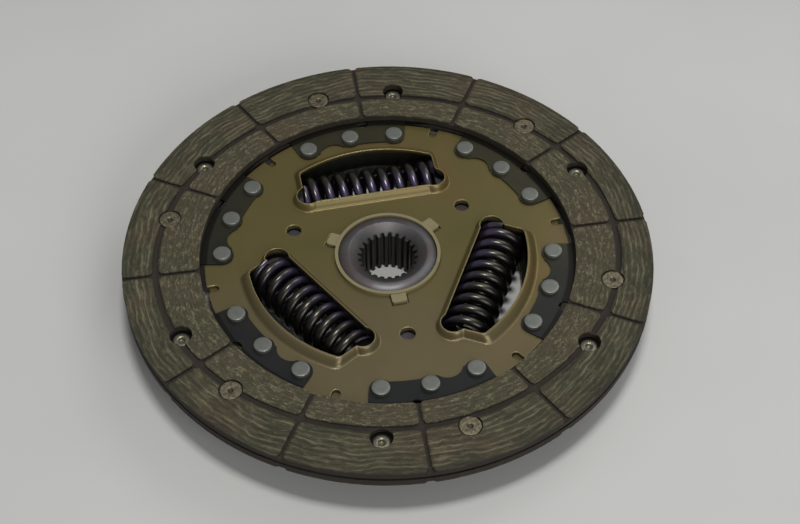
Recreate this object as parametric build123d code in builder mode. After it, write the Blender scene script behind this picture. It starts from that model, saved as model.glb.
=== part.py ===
from build123d import *
import os
from math import atan2, cos, radians, sin, sqrt, tan

os.makedirs("parts", exist_ok=True)

# A dry clutch disc with a sprung hub. +Z points to the front, where the rivet heads and the
# raised side of the hub are. The origin lies on the hub's axis at its rear end, on which the
# disc stands. Lengths are in millimetres and angles in degrees, counted from +X towards +Y.

# Friction facings
disc_diameter = 225.0
facing_room = 2.0           # between the front plate's edge and the facings
facing_thickness = 3.3
facing_gap = 1.5            # free height of the waved cushion plates between the facings
groove_depth = 1.2
radial_groove = 1.6         # widths of the grooves
oval_groove = 2.6
block_corner = 2.0          # plan radius on the corners of the facing blocks
oval_swell = 2.15           # the oval groove runs this far outside the facing's middle circle
oval_waist = 4.45           # and this far inside it
oval_clock = 10.0           # direction of its long axis

# Clocking of the repeats
window_count = 3
window_clock = 101.3        # centre of the first spring window
group_count = 6
group_lead = 3.0            # rivet groups run ahead of the windows by this angle
rivet_step = 16.3           # angle between the three rivets of a group
slot_lag = 5.6              # slot between a cushion plate's two paddles, behind the group centre
front_rivet_lead = 11.1     # facing rivets, counted from that slot
rear_rivet_lag = 9.9

# Cushion plates
cushion_thickness = 0.8
paddle_inset = 3.0          # the paddles end this far inside the facings' rim
paddle_gap = 2.6            # between neighbouring paddles
paddle_corner = 5.0
slot_eye = 2.6              # radius of the round end of each slot
slot_eye_inset = 1.0        # its centre lies this far inside the facings' bore
wave_margin = 0.02          # the waves stop this far from the facings
foot_lobe = 4.9             # radius of the foot round each rivet
foot_heel = 3.9             # the foot's inner edge, inside the rivet circle
foot_overlap = 2.0          # the foot reaches this far under the facings
recess_radius = 6.5
recess_drop = 7.5           # its centre, inside the rivet circle

# Rivets through the plates
rivet_wall_room = 1.0       # between the rivets' tails and the rear plate's wall
rivet_shank = 5.6
rivet_head = 7.6
rivet_head_height = 1.8
rivet_chamfer = 0.5
rivet_tail = 8.2
rivet_tail_height = 1.9

# Rivets through the facings
facing_rivet_inset = 0.45   # the rivets' circle, inside the facing's middle circle
facing_head = 9.0
facing_head_thickness = 1.0
facing_shank = 4.4
facing_shank_bore = 1.8
facing_tail = 6.8
facing_tail_thickness = 0.7
head_seat_depth = 1.4
head_seat = 10.0
tail_hole = 9.4
rivet_hole_clearance = 0.05

# Front and rear plates
plate_thickness = 2.0
front_rim_width = 7.3       # from the rivet circle to the edge
rear_rim_width = 6.3
edge_notch_width = 3.6      # six narrow notches midway between the groups
edge_notch_depth = 5.0
relief_radius = 4.6         # six wide notches behind the cushion plates' slots
relief_inset = 0.5          # their centres, inside the front plate's edge
gauge_hole = 6.5            # three round holes midway between the windows
gauge_circle = 43.0
wall_room = 0.57            # between the springs' corners and the rear plate's wall
wall_slope = 2.2            # the wall opens by this much towards the rim
dome_radius = 29.2          # the rear plate's raised centre
dome_depth = 2.6
dome_slope = 2.0
bend_radius = 1.2

# Spring windows, measured in a window's own frame: x across it, y outwards from the hub
floor_room = 0.8            # from the spring to the foot of the lip along the hub side
end_room = 2.5              # to its foot at the ends
front_outer_room = 2.67     # and from the spring's corners to its foot along the outer arc
rear_outer_room = 1.17
window_corner = 4.2
lobe_radius = 7.1           # the round lobes at the ends
lobe_outset = 3.0           # their reach past the window's ends
lobe_bulge = 0.3            # and past its hub side
cusp_radius = 0.9
inner_reach = 2.6           # how far each lip leans over the spring
end_reach = 2.2
outer_reach = 3.9
lobe_reach = 2.0
corner_reach = 1.6
lip_height = 3.3
lip_edge = 1.2              # height of the lip's free edge

# Damper springs
coil_diameter = 21.2
wire_diameter = 4.2
open_turns = 8              # turns between the closed ones at the ends
closed_pitch = 4.3          # pitch of the closed turn at each end
spring_length = 59.0
spring_circle = 42.6        # distance of the spring's axis from the hub axis
spring_seat_gap = 0.3

# Hub
hub_length = 23.9
front_boss = 42.2
rear_boss = 39.0
flange_middle = 15.7
flange_thickness = 5.0
flange_room = 0.9           # between its arms' tips and the rear plate's wall
flange_corner = 3.5
flange_floor_gap = 0.8      # between the spring and the window's floor
flange_tip = 2.0
spline_teeth = 24
spline_major = 25.6
spline_minor = 22.6
spline_gap = 1.9            # width of a spline groove at the tooth tips
spline_root_gap = 1.1       # and at its root
spline_overcut = 1.0        # the cutter for a groove starts this far inside the tooth tips
crown_outer = 17.2          # the narrow crown of the hub's front end
crown_inner = 16.8
crown_drop = 1.5
crown_round = 6.2           # radius of the convex bevel outside the crown
mouth_drop = 3.1
rear_chamfer = 1.0

# Bushes and friction washers
running_clearance = 0.08
front_bush_wall = 1.4
front_bush_flange = 1.6     # thickness, which is also the gap between flange and front plate
front_bush_outer = 57.0
front_bush_proud = 1.7      # above the front plate
lug_circle = 27.0
lug_width = 6.4
lug_proud = 1.2
lug_corner = 1.1
lug_clearance = 0.6
bore_clearance = 0.15
friction_washer_thickness = 1.2
thrust_ring_thickness = 1.0
washer_outer = 58.6
cup_thickness = 0.9
cup_clearance = 0.5
rear_bush_wall = 2.0
rear_bush_lip = 2.6
rear_bush_lip_thickness = 1.2
rear_bush_gap = 0.3         # between the bush and the hub flange

# Radii that follow from what each piece goes round
spring_half = spring_length / 2
spring_corner = sqrt(spring_half**2 + (spring_circle + coil_diameter / 2) ** 2)
window_inner = spring_circle - coil_diameter / 2 - floor_room
window_half = spring_half + end_room
front_window_outer = spring_corner + front_outer_room
rear_window_outer = spring_corner + rear_outer_room
wall_inner = spring_corner + wall_room
flange_radius = wall_inner - flange_room
rivet_circle = wall_inner + wall_slope + plate_thickness + rivet_wall_room + rivet_tail / 2
front_plate_radius = rivet_circle + front_rim_width
rear_plate_radius = rivet_circle + rear_rim_width
facing_inner = front_plate_radius + facing_room
disc_radius = disc_diameter / 2
facing_middle = (disc_radius + facing_inner) / 2
facing_rivet_circle = facing_middle - facing_rivet_inset
oval_long = facing_middle + oval_swell
oval_short = facing_middle - oval_waist
paddle_radius = disc_radius - paddle_inset
slot_eye_circle = facing_inner - slot_eye_inset

# Levels, all worked out from the middle of the hub flange
flange_top = flange_middle + flange_thickness / 2
flange_bottom = flange_middle - flange_thickness / 2
front_plate_back = flange_top + front_bush_flange
front_plate_face = front_plate_back + plate_thickness
foot_face = front_plate_face + cushion_thickness
cushion_middle = front_plate_face + cushion_thickness / 2
front_facing_back = cushion_middle + facing_gap / 2
rear_facing_back = cushion_middle - facing_gap / 2
rear_rim_back = front_plate_back - plate_thickness
rear_plate_inside = flange_bottom - front_bush_flange
rear_plate_outside = rear_plate_inside - plate_thickness
dome_inside = rear_plate_inside - dome_depth
dome_outside = rear_plate_outside - dome_depth
thrust_face = flange_bottom - friction_washer_thickness
cup_face = thrust_face - thrust_ring_thickness

# Angles and places that several pieces share
group_clock = window_clock + group_lead
slot_clock = group_clock - slot_lag
paddle_angle = 180.0 / group_count
gap_clock = window_clock + 180.0 / window_count
front_rivet_clock = slot_clock + front_rivet_lead
rear_rivet_clock = slot_clock - rear_rivet_lag
bush_inner = front_boss / 2 + running_clearance
bush_outer = bush_inner + front_bush_wall
rear_bush_inner = rear_boss / 2 + running_clearance
rear_bush_outer = rear_bush_inner + rear_bush_wall
rear_bore = rear_bush_outer + bore_clearance
washer_bore = rear_bore + bore_clearance
lobe_x = window_half + lobe_outset - lobe_radius
lobe_y = window_inner + lobe_radius - lobe_bulge
lobe_turn = radians(-20)    # direction of a point about midway along a lobe's arc


def radial_plane(angle, height):
    """A level plane whose y axis points outwards at the angle, and x clockwise."""
    turn = radians(angle)
    return Plane(origin=(0, 0, height), x_dir=(sin(turn), -cos(turn), 0), z_dir=(0, 0, 1))


def cross_plane(angle, radius, height):
    """An upright plane across the radius at the angle: x clockwise, y up, normal inwards."""
    turn = radians(angle)
    start = (radius * cos(turn), radius * sin(turn), height)
    return Plane(origin=start, x_dir=(sin(turn), -cos(turn), 0), z_dir=(-cos(turn), -sin(turn), 0))


def window_outline(outer_radius, share):
    """The window's outline at a share of the lip's lean: 0 is the lip's foot, 1 its free edge."""
    y_in = window_inner + share * inner_reach
    x_end = window_half - share * end_reach
    r_out = outer_radius - share * outer_reach
    lobe = lobe_radius - share * lobe_reach
    corner = window_corner - share * corner_reach
    x_foot = lobe_x - sqrt(lobe**2 - (lobe_y - y_in) ** 2)
    y_cusp = lobe_y + sqrt(lobe**2 - (x_end - lobe_x) ** 2)
    y_corner = sqrt(r_out**2 - x_end**2)
    lobe_side = (lobe_x + lobe * cos(lobe_turn), lobe_y + lobe * sin(lobe_turn))
    outer_turn = atan2(x_end, y_corner) / 2
    with BuildLine() as outline:
        Line((0, y_in), (x_foot, y_in))
        ThreePointArc((x_foot, y_in), lobe_side, (x_end, y_cusp))
        Line((x_end, y_cusp), (x_end, y_corner))
        ThreePointArc((x_end, y_corner), (r_out * sin(outer_turn), r_out * cos(outer_turn)), (0, r_out))
        mirror(about=Plane.YZ)
    make_face(outline.edges())
    ends = vertices().filter_by(lambda v: abs(abs(v.X) - x_end) < 0.01)
    fillet(ends.filter_by(lambda v: v.Y > (y_cusp + y_corner) / 2), corner)
    cusps = vertices().filter_by(lambda v: abs(abs(v.X) - x_end) < 0.01 and abs(v.Y - y_cusp) < 0.01)
    fillet(cusps, cusp_radius)
    feet = vertices().filter_by(lambda v: abs(abs(v.X) - x_foot) < 0.01 and abs(v.Y - y_in) < 0.01)
    fillet(feet, cusp_radius)


def lip_levels(face, outward):
    """Shares and heights of the lip's outer side, from the plate's face up to the free edge."""
    curve = [(-0.14, 0.0), (0.0, 0.06), (0.14, 0.2), (0.32, 0.46), (0.55, 0.74), (0.78, 0.93), (1.0, 1.0)]
    return [(share, face + outward * rise * lip_height) for share, rise in curve]


def cut_levels(face, outward):
    """Shares and heights of the cut inside the lip, from behind the plate to past its edge."""
    back = face - outward * plate_thickness
    edge = face + outward * lip_height
    return [(0.25, back - outward * plate_thickness), (0.25, back),
            (1.0, edge - outward * lip_edge), (1.0, edge + outward * lip_edge)]


def window_solid(angle, outer_radius, levels):
    """The body between window outlines stacked at the given shares and heights."""
    with BuildPart() as body:
        for share, height in levels:
            with BuildSketch(radial_plane(angle, height)):
                window_outline(outer_radius, share)
        loft(ruled=True)
    return body.part


def turned_about_axis(points, corner=0.0):
    """Turns the outline through the (radius, height) points about the hub axis."""
    with BuildSketch(Plane.XZ) as profile:
        with BuildLine():
            Polyline(*points, close=True)
        make_face()
        if corner > 0:
            ends = (min(radius for radius, height in points), max(radius for radius, height in points))
            fillet(profile.vertices().filter_by(lambda v: v.X not in ends), corner)
    revolve(profile.sketch, axis=Axis.Z)


def window_angles():
    """Centres of the spring windows."""
    return [window_clock - 360.0 / window_count * i for i in range(window_count)]


def oval(spread, mode):
    """A four-arc oval at the given distance outside the oval groove's centre line."""
    end_radius = oval_short**2 / oval_long
    end_x = oval_long - end_radius
    side_radius = (end_x**2 + oval_short**2 - end_radius**2) / (2 * (oval_short - end_radius))
    side_y = side_radius - oval_short
    join_x = end_x * (side_radius + spread) / (side_radius - end_radius)
    join_y = side_y * (end_radius + spread) / (side_radius - end_radius)
    with BuildLine(Plane.XY.rotated((0, 0, oval_clock))) as outline:
        ThreePointArc((join_x, -join_y), (oval_long + spread, 0), (join_x, join_y))
        ThreePointArc((join_x, join_y), (0, oval_short + spread), (-join_x, join_y))
        ThreePointArc((-join_x, join_y), (-oval_long - spread, 0), (-join_x, -join_y))
        ThreePointArc((-join_x, -join_y), (0, -oval_short - spread), (join_x, -join_y))
    make_face(outline.edges(), mode=mode)


# Facings: a backing ring that carries rounded blocks, parted by radial grooves and an oval one
def make_facing(name, back, outward, head_clock, tail_clock):
    face = back + outward * facing_thickness
    with BuildPart() as facing:
        with BuildSketch(Plane.XY.offset(back)):
            Circle(disc_radius)
            Circle(facing_inner, mode=Mode.SUBTRACT)
        extrude(amount=outward * (facing_thickness - groove_depth))
        with BuildSketch(Plane.XY.offset(face - outward * groove_depth)):
            Circle(disc_radius)
            oval(oval_groove / 2, Mode.SUBTRACT)
            oval(-oval_groove / 2, Mode.ADD)
            Circle(facing_inner, mode=Mode.SUBTRACT)
            with PolarLocations(facing_middle, 2 * group_count, start_angle=slot_clock):
                Rectangle(2 * (disc_radius - facing_inner), radial_groove, mode=Mode.SUBTRACT)
            offset(amount=-block_corner, mode=Mode.REPLACE)
            offset(amount=block_corner, kind=Kind.ARC, mode=Mode.REPLACE)
        extrude(amount=outward * groove_depth)
        with BuildSketch(Plane.XY.offset(face)):
            with PolarLocations(facing_rivet_circle, group_count, start_angle=head_clock):
                Circle(head_seat / 2)
        extrude(amount=-outward * head_seat_depth, mode=Mode.SUBTRACT)
        with BuildSketch(Plane.XY.offset(face)):
            with PolarLocations(facing_rivet_circle, group_count, start_angle=head_clock):
                Circle(facing_shank / 2 + rivet_hole_clearance)
            with PolarLocations(facing_rivet_circle, group_count, start_angle=tail_clock):
                Circle(tail_hole / 2)
        extrude(amount=-outward * facing_thickness, mode=Mode.SUBTRACT)
    facing.part.label = name
    export_step(facing.part, f"parts/{name}.step")
    return facing.part


make_facing("front_facing", front_facing_back, 1, front_rivet_clock, rear_rivet_clock)
make_facing("rear_facing", rear_facing_back, -1, rear_rivet_clock, front_rivet_clock)


# Cushion plates: a flat foot on the front plate, and two paddles waved in opposite senses
def waved_paddle(slot_angle, side, rivet_angle):
    """One paddle on the given side of the slot, with its wave's crest at the facing rivet."""
    crest = side * (facing_gap / 2 - cushion_thickness / 2 - wave_margin)
    reach = paddle_radius * sin(radians(paddle_angle * 2 / 3))
    half = cushion_thickness / 2
    with BuildPart() as paddle:
        with BuildSketch(cross_plane(rivet_angle, paddle_radius + paddle_corner, cushion_middle)):
            with BuildLine():
                ThreePointArc((-reach, -crest - half), (0, crest - half), (reach, -crest - half))
                Line((reach, -crest - half), (reach, -crest + half))
                ThreePointArc((reach, -crest + half), (0, crest + half), (-reach, -crest + half))
                Line((-reach, -crest + half), (-reach, -crest - half))
            make_face()
        extrude(amount=paddle_radius + paddle_corner - facing_inner + foot_overlap / 2)
        middle = slot_angle + side * paddle_angle / 2
        with BuildSketch(radial_plane(middle, rear_facing_back)) as plan:
            Circle(paddle_radius)
            Circle(facing_inner - foot_overlap / 2, mode=Mode.SUBTRACT)
            with BuildLine():
                wide = disc_diameter * tan(radians(paddle_angle / 2))
                start = paddle_gap / 2 / sin(radians(paddle_angle / 2))
                far = disc_diameter + start
                Polyline((0, start), (wide, far), (-wide, far), close=True)
            make_face(mode=Mode.INTERSECT)
            fillet(plan.vertices().group_by(SortBy.DISTANCE)[-1], paddle_corner)
        extrude(amount=facing_gap, mode=Mode.INTERSECT)
    return paddle.part


def make_cushion(number):
    centre = group_clock - 360.0 / group_count * (number - 1)
    slot = centre - slot_lag
    recess_circle = rivet_circle - recess_drop
    front_paddle = waved_paddle(slot, 1, slot + front_rivet_lead)
    rear_paddle = waved_paddle(slot, -1, slot - rear_rivet_lag)
    with BuildPart() as cushion:
        with BuildSketch(radial_plane(centre, front_plate_face)):
            Circle(facing_inner + foot_overlap)
            Circle(rivet_circle - foot_heel, mode=Mode.SUBTRACT)
            with BuildLine():
                spread = disc_diameter * tan(radians(rivet_step))
                Polyline((0, 0), (spread, disc_diameter), (-spread, disc_diameter), close=True)
            make_face(mode=Mode.INTERSECT)
            with Locations((-recess_circle * sin(radians(rivet_step / 2)),
                            recess_circle * cos(radians(rivet_step / 2)))):
                Circle(recess_radius, mode=Mode.SUBTRACT)
            for step in (-rivet_step, 0, rivet_step):
                with Locations((rivet_circle * sin(radians(step)), rivet_circle * cos(radians(step)))):
                    Circle(foot_lobe)
            for side in (-1, 1):
                turn = radians(side * rivet_step)
                with Locations(Location((rivet_circle * sin(turn), rivet_circle * cos(turn), 0),
                                        (0, 0, -side * rivet_step))):
                    Rectangle(2 * foot_lobe, facing_inner + foot_overlap - rivet_circle,
                              align=(Align.CENTER, Align.MIN))
            for step in (-rivet_step, 0, rivet_step):
                with Locations((rivet_circle * sin(radians(step)), rivet_circle * cos(radians(step)))):
                    Circle(rivet_shank / 2 + rivet_hole_clearance, mode=Mode.SUBTRACT)
        extrude(amount=cushion_thickness)
        add(front_paddle)
        add(rear_paddle)
        with BuildSketch(radial_plane(slot, rear_facing_back)):
            with Locations((0, slot_eye_circle)):
                Circle(slot_eye)
            with Locations((0, slot_eye_circle)):
                Rectangle(paddle_gap, disc_radius - slot_eye_circle, align=(Align.CENTER, Align.MIN))
        extrude(amount=facing_gap, mode=Mode.SUBTRACT)
        for angle in (slot + front_rivet_lead, slot - rear_rivet_lag):
            with BuildSketch(radial_plane(angle, rear_facing_back)):
                with Locations((0, facing_rivet_circle)):
                    Circle(facing_shank / 2 + rivet_hole_clearance)
            extrude(amount=facing_gap, mode=Mode.SUBTRACT)
    cushion.part.label = f"cushion_plate_{number}"
    export_step(cushion.part, f"parts/cushion_plate_{number}.step")


for cushion_number in range(1, group_count + 1):
    make_cushion(cushion_number)


# Rivet holes, which the front and the rear plate share
def cut_rivet_holes(back):
    """The holes of the plate rivets through a rim that starts at the level."""
    with BuildSketch(Plane.XY.offset(back)) as holes:
        for step in (-rivet_step, 0, rivet_step):
            with PolarLocations(rivet_circle, group_count, start_angle=group_clock + step):
                Circle(rivet_shank / 2 + rivet_hole_clearance)
    extrude(holes.sketch, amount=plate_thickness, mode=Mode.SUBTRACT)


# Front plate: flat, with three lipped windows, a notched rim and a notched bore for the bush's lugs
with BuildPart() as front_plate:
    with BuildSketch(Plane.XY.offset(front_plate_back)):
        Circle(front_plate_radius)
        Circle(bush_outer + bore_clearance, mode=Mode.SUBTRACT)
        with PolarLocations(0, window_count, start_angle=gap_clock):
            Rectangle(lug_circle + lug_clearance, lug_width + 2 * lug_clearance,
                      align=(Align.MIN, Align.CENTER), mode=Mode.SUBTRACT)
        with PolarLocations(gauge_circle, window_count, start_angle=gap_clock):
            Circle(gauge_hole / 2, mode=Mode.SUBTRACT)
        notch_centre = front_plate_radius - edge_notch_depth + edge_notch_width / 2
        with PolarLocations(notch_centre, group_count, start_angle=group_clock + paddle_angle):
            Circle(edge_notch_width / 2, mode=Mode.SUBTRACT)
            Rectangle(edge_notch_depth, edge_notch_width, align=(Align.MIN, Align.CENTER), mode=Mode.SUBTRACT)
        with PolarLocations(front_plate_radius - relief_inset, group_count, start_angle=slot_clock):
            Circle(relief_radius, mode=Mode.SUBTRACT)
    extrude(amount=plate_thickness)
    cut_rivet_holes(front_plate_back)
    for window_angle in window_angles():
        add(window_solid(window_angle, front_window_outer, lip_levels(front_plate_face, 1)))
    for window_angle in window_angles():
        add(window_solid(window_angle, front_window_outer, cut_levels(front_plate_face, 1)),
            mode=Mode.SUBTRACT)
front_plate.part.label = "front_plate"
export_step(front_plate.part, "parts/front_plate.step")

# Rear plate: dished, so that its rim meets the front plate and its floor passes behind the hub flange
with BuildPart() as rear_plate:
    turned_about_axis([
        (rear_bore, dome_inside),
        (dome_radius, dome_inside),
        (dome_radius + dome_slope, rear_plate_inside),
        (wall_inner, rear_plate_inside),
        (wall_inner + wall_slope, front_plate_back),
        (rear_plate_radius, front_plate_back),
        (rear_plate_radius, rear_rim_back),
        (wall_inner + wall_slope + plate_thickness, rear_rim_back),
        (wall_inner + plate_thickness, rear_plate_outside),
        (dome_radius + dome_slope + plate_thickness / 2, rear_plate_outside),
        (dome_radius + plate_thickness / 2, dome_outside),
        (rear_bore, dome_outside),
    ], bend_radius)
    cut_rivet_holes(rear_rim_back)
    for window_angle in window_angles():
        add(window_solid(window_angle, rear_window_outer, lip_levels(rear_plate_outside, -1)))
    for window_angle in window_angles():
        add(window_solid(window_angle, rear_window_outer, cut_levels(rear_plate_outside, -1)),
            mode=Mode.SUBTRACT)
rear_plate.part.label = "rear_plate"
export_step(rear_plate.part, "parts/rear_plate.step")

# Plate rivets: eighteen solid rivets through foot, front plate and rear rim
with BuildPart() as plate_rivets:
    rivet_levels = [(rear_rim_back - rivet_tail_height, rear_rim_back, rivet_tail),
                    (rear_rim_back, foot_face, rivet_shank),
                    (foot_face, foot_face + rivet_head_height, rivet_head)]
    for low, high, diameter in rivet_levels:
        with BuildSketch(Plane.XY.offset(low)):
            for step in (-rivet_step, 0, rivet_step):
                with PolarLocations(rivet_circle, group_count, start_angle=group_clock + step):
                    Circle(diameter / 2)
        extrude(amount=high - low)
    rims = plate_rivets.edges().filter_by(GeomType.CIRCLE)
    chamfer(rims.group_by(Axis.Z)[-1] + rims.group_by(Axis.Z)[0], rivet_chamfer)
plate_rivets.part.label = "plate_rivets"
export_step(plate_rivets.part, "parts/plate_rivets.step")


# Facing rivets: hollow rivets whose heads sit in one facing and whose tails grip the cushion plate
def make_facing_rivets(name, facing_back, outward, clock):
    head_level = facing_back + outward * (facing_thickness - head_seat_depth)
    grip_level = facing_back - outward * (cushion_thickness + 2 * wave_margin)
    with BuildPart() as rivets:
        steps = [(head_level, outward * facing_head_thickness, facing_head),
                 (head_level, grip_level - head_level, facing_shank),
                 (grip_level, -outward * facing_tail_thickness, facing_tail)]
        for level, height, diameter in steps:
            with BuildSketch(Plane.XY.offset(level)):
                with PolarLocations(facing_rivet_circle, group_count, start_angle=clock):
                    Circle(diameter / 2)
            extrude(amount=height)
        with BuildSketch(Plane.XY.offset(head_level + outward * facing_head_thickness)):
            with PolarLocations(facing_rivet_circle, group_count, start_angle=clock):
                Circle(facing_shank_bore / 2)
        extrude(amount=-outward * (facing_thickness + cushion_thickness + facing_tail_thickness),
                mode=Mode.SUBTRACT)
    rivets.part.label = name
    export_step(rivets.part, f"parts/{name}.step")


make_facing_rivets("front_facing_rivets", front_facing_back, 1, front_rivet_clock)
make_facing_rivets("rear_facing_rivets", rear_facing_back, -1, rear_rivet_clock)

# Hub: one forging, a splined boss with three broad arms that push on the springs' ends
with BuildPart() as hub:
    with BuildSketch(Plane.XZ):
        with BuildLine():
            Polyline(
                (crown_outer, hub_length),
                (crown_inner, hub_length),
                (spline_minor / 2, hub_length - mouth_drop),
                (spline_minor / 2, 0),
                (rear_boss / 2 - rear_chamfer, 0),
                (rear_boss / 2, rear_chamfer),
                (rear_boss / 2, flange_bottom),
                (front_boss / 2, flange_bottom),
                (front_boss / 2, hub_length - crown_drop),
            )
            RadiusArc((front_boss / 2, hub_length - crown_drop), (crown_outer, hub_length), -crown_round)
        make_face()
    revolve(axis=Axis.Z)
    with BuildSketch(Plane.XY.offset(flange_bottom)) as flange_plan:
        Circle(flange_radius)
        for window_angle in window_angles():
            floor = spring_circle - coil_diameter / 2 - flange_floor_gap
            with Locations(Location((0, 0, 0), (0, 0, window_angle - 90))):
                with Locations((0, floor)):
                    Rectangle(spring_length + 2 * spring_seat_gap, flange_radius,
                              align=(Align.CENTER, Align.MIN), mode=Mode.SUBTRACT)
        tips = flange_plan.vertices().group_by(SortBy.DISTANCE)[-1]
        roots = flange_plan.vertices().group_by(SortBy.DISTANCE)[0]
        fillet(tips, flange_tip)
        fillet(roots, flange_corner)
        Circle(spline_major / 2, mode=Mode.SUBTRACT)
    extrude(amount=flange_thickness)
    with BuildSketch(Plane.XY):
        with PolarLocations(0, spline_teeth, start_angle=window_clock):
            tooth_tip = spline_minor / 2 - spline_overcut
            Polygon((tooth_tip, -spline_gap / 2), (spline_major / 2, -spline_root_gap / 2),
                    (spline_major / 2, spline_root_gap / 2), (tooth_tip, spline_gap / 2), align=None)
    extrude(amount=hub_length, mode=Mode.SUBTRACT)
hub.part.label = "hub"
export_step(hub.part, "parts/hub.step")

# Front bush: a plastic sleeve on the hub with a friction flange and three lugs in the front plate
with BuildPart() as front_bush:
    turned_about_axis([
        (bush_inner, flange_top),
        (front_bush_outer / 2, flange_top),
        (front_bush_outer / 2, front_plate_back),
        (bush_outer, front_plate_back),
        (bush_outer, front_plate_face + front_bush_proud),
        (bush_inner, front_plate_face + front_bush_proud),
    ])
    with BuildSketch(Plane.XY.offset(front_plate_back)) as lugs:
        with PolarLocations(0, window_count, start_angle=gap_clock):
            Rectangle(lug_circle, lug_width, align=(Align.MIN, Align.CENTER))
        Circle(bush_inner + front_bush_wall / 2, mode=Mode.SUBTRACT)
        fillet(lugs.vertices().sort_by(SortBy.DISTANCE)[-2 * window_count:], lug_corner)
    extrude(amount=plate_thickness + lug_proud)
front_bush.part.label = "front_bush"
export_step(front_bush.part, "parts/front_bush.step")

# Rear bush: a plastic sleeve in the rear plate's bore, with a lip outside
with BuildPart() as rear_bush:
    turned_about_axis([
        (rear_bush_inner, dome_outside - rear_bush_lip_thickness),
        (rear_bush_outer + rear_bush_lip, dome_outside - rear_bush_lip_thickness),
        (rear_bush_outer + rear_bush_lip, dome_outside),
        (rear_bush_outer, dome_outside),
        (rear_bush_outer, flange_bottom - rear_bush_gap),
        (rear_bush_inner, flange_bottom - rear_bush_gap),
    ])
rear_bush.part.label = "rear_bush"
export_step(rear_bush.part, "parts/rear_bush.step")

# Friction washer, thrust ring and cup spring behind the hub flange
with BuildPart() as friction_washer:
    with BuildSketch(Plane.XY.offset(thrust_face)):
        Circle(washer_outer / 2)
        Circle(washer_bore, mode=Mode.SUBTRACT)
    extrude(amount=friction_washer_thickness)
friction_washer.part.label = "friction_washer"
export_step(friction_washer.part, "parts/friction_washer.step")

with BuildPart() as thrust_ring:
    with BuildSketch(Plane.XY.offset(cup_face)):
        Circle(washer_outer / 2)
        Circle(washer_bore, mode=Mode.SUBTRACT)
    extrude(amount=thrust_ring_thickness)
thrust_ring.part.label = "thrust_ring"
export_step(thrust_ring.part, "parts/thrust_ring.step")

with BuildPart() as cup_spring:
    turned_about_axis([
        (washer_bore, cup_face - cup_thickness),
        (dome_radius - cup_clearance, dome_inside),
        (dome_radius - cup_clearance, dome_inside + cup_thickness),
        (washer_bore, cup_face),
    ])
cup_spring.part.label = "cup_spring"
export_step(cup_spring.part, "parts/cup_spring.step")


# Damper springs: coiled wire, closed by a flat-wound turn at each end and ground level there
def make_spring(number):
    turn = radians(window_clock - 360.0 / window_count * (number - 1))
    along = Vector(sin(turn), -cos(turn), 0)
    middle = Vector(spring_circle * cos(turn), spring_circle * sin(turn), flange_middle)
    first_end = middle - along * spring_half
    open_length = spring_length - 2 * closed_pitch
    stretches = [(0, closed_pitch, closed_pitch),
                 (closed_pitch, open_length / open_turns, open_length),
                 (closed_pitch + open_length, closed_pitch, closed_pitch)]
    with BuildPart() as spring:
        for start, pitch, height in stretches:
            centre = first_end + along * start
            with BuildLine() as path:
                Helix(pitch, height, (coil_diameter - wire_diameter) / 2, center=centre, direction=along)
            wire_start = path.line @ 0
            with BuildSketch(Plane(origin=wire_start, z_dir=along.cross(wire_start - centre))):
                Circle(wire_diameter / 2)
            sweep(path=path.line, is_frenet=True)
        split(bisect_by=Plane(origin=first_end, z_dir=along), keep=Keep.TOP)
        split(bisect_by=Plane(origin=first_end + along * spring_length, z_dir=along), keep=Keep.BOTTOM)
    spring.part.label = f"damper_spring_{number}"
    export_step(spring.part, f"parts/damper_spring_{number}.step")


for spring_number in range(1, window_count + 1):
    make_spring(spring_number)
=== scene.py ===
import logging
import math
from dataclasses import dataclass
from enum import Enum
from typing import Any, Optional, Union

import bpy
from mathutils import Matrix, Vector


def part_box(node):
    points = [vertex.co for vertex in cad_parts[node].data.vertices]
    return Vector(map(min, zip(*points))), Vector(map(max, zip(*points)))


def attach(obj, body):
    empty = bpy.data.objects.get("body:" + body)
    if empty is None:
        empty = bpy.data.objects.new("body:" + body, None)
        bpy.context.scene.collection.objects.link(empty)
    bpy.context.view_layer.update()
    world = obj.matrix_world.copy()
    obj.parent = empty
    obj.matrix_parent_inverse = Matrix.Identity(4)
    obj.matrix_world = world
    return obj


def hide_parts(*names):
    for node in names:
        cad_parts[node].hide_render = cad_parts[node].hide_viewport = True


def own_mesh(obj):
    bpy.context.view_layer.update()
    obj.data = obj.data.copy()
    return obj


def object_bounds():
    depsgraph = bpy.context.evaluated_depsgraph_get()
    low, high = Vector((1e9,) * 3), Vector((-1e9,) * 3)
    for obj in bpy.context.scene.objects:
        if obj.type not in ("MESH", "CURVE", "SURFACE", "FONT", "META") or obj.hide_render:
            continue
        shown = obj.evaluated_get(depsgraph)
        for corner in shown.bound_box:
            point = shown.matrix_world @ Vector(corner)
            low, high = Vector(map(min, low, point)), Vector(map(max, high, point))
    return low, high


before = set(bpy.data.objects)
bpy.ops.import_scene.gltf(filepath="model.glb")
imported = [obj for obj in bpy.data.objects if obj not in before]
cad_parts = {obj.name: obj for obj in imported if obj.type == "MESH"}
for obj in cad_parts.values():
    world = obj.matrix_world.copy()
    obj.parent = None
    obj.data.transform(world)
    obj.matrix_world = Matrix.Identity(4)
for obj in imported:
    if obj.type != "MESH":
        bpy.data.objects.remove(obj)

LOG = logging.getLogger("clutch_disc")
CAD_LOW, CAD_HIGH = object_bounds()
MM = 0.001

Colour = tuple[float, float, float]
Number = Union[int, float]
Point = tuple[float, float, float]
Face = tuple[int, ...]
Outline = list[tuple[float, float]]

FINE_GRAIN = 1500.0         # Features per metre of the grain that all the bare metals share
WHOLE_TURN = 2 * math.pi


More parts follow.
